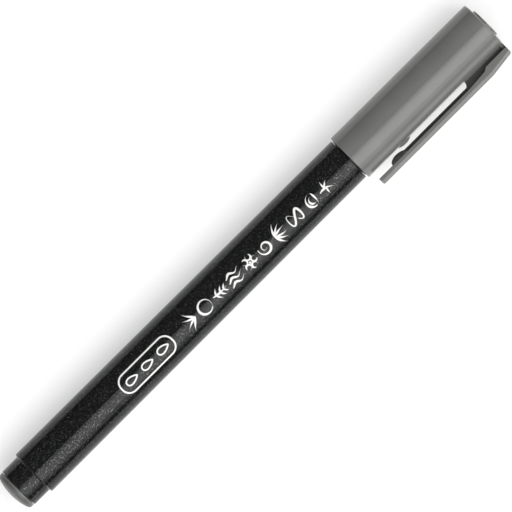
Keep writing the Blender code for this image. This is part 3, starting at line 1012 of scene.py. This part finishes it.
class MARKER_OT_ink_store(bpy.types.Operator):
    """Finish the pieces inside the barrel: fibre, film and feed core"""

    bl_idname = "marker.ink_store"
    bl_label = "Ink store"

    def execute(self, context):
        finish = pen_settings(context)[1]
        core = shaded(finish.fibre, -0.3)
        finishes = {
            "ink_reservoir": drawn_fibre("inked_fibre", finish.fibre, 0.25 * MM, 0.04 * MM),
            "feed_core": drawn_fibre("core_fibre", core, 0.12 * MM, 0.02 * MM),
            "reservoir_film": thin_film("film", finish.film),
        }
        for node, material in finishes.items():
            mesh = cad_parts[node].data
            mesh.materials.clear()
            mesh.materials.append(material)
        return {"FINISHED"}


class MARKER_OT_inner_cap(bpy.types.Operator):
    """Add the milky cup that seals round the nib"""

    bl_idname = "marker.inner_cap"
    bl_label = "Inner cap"

    def execute(self, context):
        shape, finish = pen_settings(context)
        material = natural_plastic("inner_cap", finish.liner)
        piece = add_turned("sealing_cup", inner_cap_line(shape), shape, material)
        stand_for(piece, "inner_cap", "inner_cap")
        return {"FINISHED"}


class MARKER_OT_cap(bpy.types.Operator):
    """Add the outer cap with its crown, its lump and the clip's web and flange"""

    bl_idname = "marker.cap"
    bl_label = "Cap"

    def execute(self, context):
        shape, finish = pen_settings(context)
        material = moulded_plastic("cap_grey", finish.cap, finish.cap_roughness)
        cap = add_turned("outer_cap", cap_line(shape), shape, material, lift=cap_lump(shape))
        stand_for(cap, "cap", "cap_shell")
        # The web and the flange are a darker copy of the cap's grey: painted shade in the recess
        # under the clip's root.
        painted_shade = moulded_plastic("painted_shade_grey", shaded(finish.cap, PAINTED_SHADE_SHARE), 0.35)
        for name, root in (("clip_web", web_grid(shape)), ("clip_flange", flange_grid(shape))):
            piece = add_piece(name, [root], painted_shade)
            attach(piece, "cap")
        return {"FINISHED"}


class MARKER_OT_clip(bpy.types.Operator):
    """Add the clip's strip, with its rib and ball"""

    bl_idname = "marker.clip"
    bl_label = "Clip"

    def execute(self, context):
        shape, finish = pen_settings(context)
        # The clip is the cap's grey made paler, a painted highlight over the same plastic.
        material = plastic_with_painted_shade("clip_grey", shaded(finish.cap, 0.12), finish.cap_roughness)
        grid = strip_grid(shape)
        piece = add_piece("clip_strip", [grid], material, sharp=40.0)
        # painted shade on the rib, the ball and the inner face
        mark_painted_shade(piece, grid, shape)
        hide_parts("clip")
        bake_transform(piece)
        return {"FINISHED"}


class MARKER_OT_print(bpy.types.Operator):
    """Add the print: an outline with three drops, and a row of plain brush marks"""

    bl_idname = "marker.print"
    bl_label = "Print"

    def execute(self, context):
        shape, finish = pen_settings(context)
        material = printed_ink("print_white", finish.ink)
        loops, strokes = print_grids(shape, context.scene.marker_print)
        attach(add_piece("print_outline", loops, material, "loop", sharp=60.0), "pen")
        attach(add_piece("print_marks", strokes, material, sharp=60.0), "pen")
        return {"FINISHED"}


class MARKER_OT_stage(bpy.types.Operator):
    """Add the pale floor, the soft lights, the sky and the camera"""

    bl_idname = "marker.stage"
    bl_label = "Stage"

    def execute(self, context):
        scene = context.scene
        stage = scene.marker_stage
        add_floor(stage)
        add_sky(scene, stage)
        for near, far, share in ((4.0, 16.0, 0.62), (16.0, 52.0, 1.0), (52.0, 70.0, 0.45)):
            add_panel_light(f"panel_{near:.0f}", near, far, share * stage.key)
        add_camera(scene, stage)
        scene.view_settings.view_transform = "Standard"
        return {"FINISHED"}


# ---- stage

def add_floor(stage):
    """A square of paper under the pen, with its corners at reach metres along each axis."""
    reach = 3.0
    mesh = bpy.data.meshes.new("floor")
    corners = [(-reach, -reach, 0), (reach, -reach, 0), (reach, reach, 0), (-reach, reach, 0)]
    mesh.from_pydata(corners, [], [(0, 1, 2, 3)])
    mesh.materials.append(studio_floor("floor_paper", stage.floor, stage.glow))
    floor = bpy.data.objects.new("floor", mesh)
    bpy.context.scene.collection.objects.link(floor)


def add_sky(scene, stage):
    """Light from all round. Its strength is low(z) (sky slot(y / z) + ends run(|x|)), where slot is
    dark straight overhead along the pen, run is bright past both of its ends, and low fades it out
    towards the horizon."""
    scene.world = bpy.data.worlds.new("studio")
    nodes = Nodes(scene.world, "Background", "Generated")
    smooth = {"interpolation_type": "SMOOTHSTEP"}
    east, north, up = nodes.add("SeparateXYZ", nodes.place)
    slot = nodes.ranged(nodes.maths("DIVIDE", north, up), 0.08, 0.18,
                        0.1 * stage.sky, stage.sky, **smooth)
    run = nodes.ranged(nodes.maths("ABSOLUTE", east), 0.6, 0.85, 0.0, stage.ends, **smooth)
    low = nodes.ranged(up, 0.05, 0.35, 0.25, 1.0, **smooth)
    strength = nodes.maths("MULTIPLY", nodes.maths("ADD", slot, run), low)
    nodes.put(Color=(1.0, 1.0, 1.0, 1.0), Strength=strength)


def add_panel_light(name, near, far, brightness):
    """A long soft panel on the clip's side, between two angles from straight up. Its power is
    brightness times pi times its area."""
    distance, along = 0.6, 1.2
    middle = math.radians((near + far) / 2)
    across = 2 * distance * math.tan(math.radians((far - near) / 2))
    light = bpy.data.lights.new(name, "AREA")
    light.shape = "RECTANGLE"
    light.size = along
    light.size_y = across
    light.energy = brightness * math.pi * along * across
    panel = bpy.data.objects.new(name, light)
    panel.location = (0.0, AXIS_Y - distance * math.sin(middle),
                      AXIS_Z + distance * math.cos(middle))
    panel.rotation_euler = (middle, 0.0, 0.0)
    panel.visible_camera = False
    bpy.context.scene.collection.objects.link(panel)


def add_camera(scene, stage):
    """A long lens straight above, turned so that the pen runs from the lower left corner to the
    upper right. The picture's middle lies past the pen's by the two shares of its width in off."""
    right = np.array([math.cos(stage.roll), math.sin(stage.roll)])
    up = np.array([-right[1], right[0]])
    off = (0.0146 * right + 0.0054 * up) * stage.frame_width
    aim = np.array([TAIL_X + LENGTH / 2, AXIS_Y]) + off
    camera = bpy.data.cameras.new("camera")
    camera.lens = camera.sensor_width * stage.camera_height / stage.frame_width
    camera.clip_end = 20.0
    holder = bpy.data.objects.new("camera", camera)
    holder.location = (aim[0], aim[1], AXIS_Z + stage.camera_height)
    holder.rotation_euler = (0.0, 0.0, stage.roll)
    scene.collection.objects.link(holder)
    scene.camera = holder


# ---- panel and registration

OPERATORS = (
    MARKER_OT_barrel,
    MARKER_OT_tail_plug,
    MARKER_OT_front_section,
    MARKER_OT_nib,
    MARKER_OT_ink_store,
    MARKER_OT_inner_cap,
    MARKER_OT_cap,
    MARKER_OT_clip,
    MARKER_OT_print,
    MARKER_OT_stage,
)


class MARKER_PT_panel(bpy.types.Panel):
    """Lists the marker's pieces and settings in the sidebar"""

    bl_label = "Brush Marker"
    bl_space_type = "VIEW_3D"
    bl_region_type = "UI"
    bl_category = "Marker"

    def draw(self, context):
        column = self.layout.column()
        for operator in OPERATORS:
            column.operator(operator.bl_idname)
        for name in SETTINGS:
            group = getattr(context.scene, name)
            box = self.layout.box()
            for key in group.bl_rna.properties.keys():
                if key not in {"rna_type", "name"}:
                    box.prop(group, key)


SETTINGS = {
    "marker_shape": MarkerShape,
    "marker_print": MarkerPrint,
    "marker_finish": MarkerFinish,
    "marker_stage": MarkerStage,
}
CLASSES = (*SETTINGS.values(), *OPERATORS, MARKER_PT_panel)


def register():
    for item in CLASSES:
        bpy.utils.register_class(item)
    for name, group in SETTINGS.items():
        setattr(bpy.types.Scene, name, PointerProperty(type=group))


def unregister():
    for name in SETTINGS:
        delattr(bpy.types.Scene, name)
    for item in reversed(CLASSES):
        bpy.utils.unregister_class(item)


def main():
    register()
    for operator in OPERATORS:
        group, action = operator.bl_idname.split(".")
        getattr(getattr(bpy.ops, group), action)()


if __name__ == "__main__":
    main()
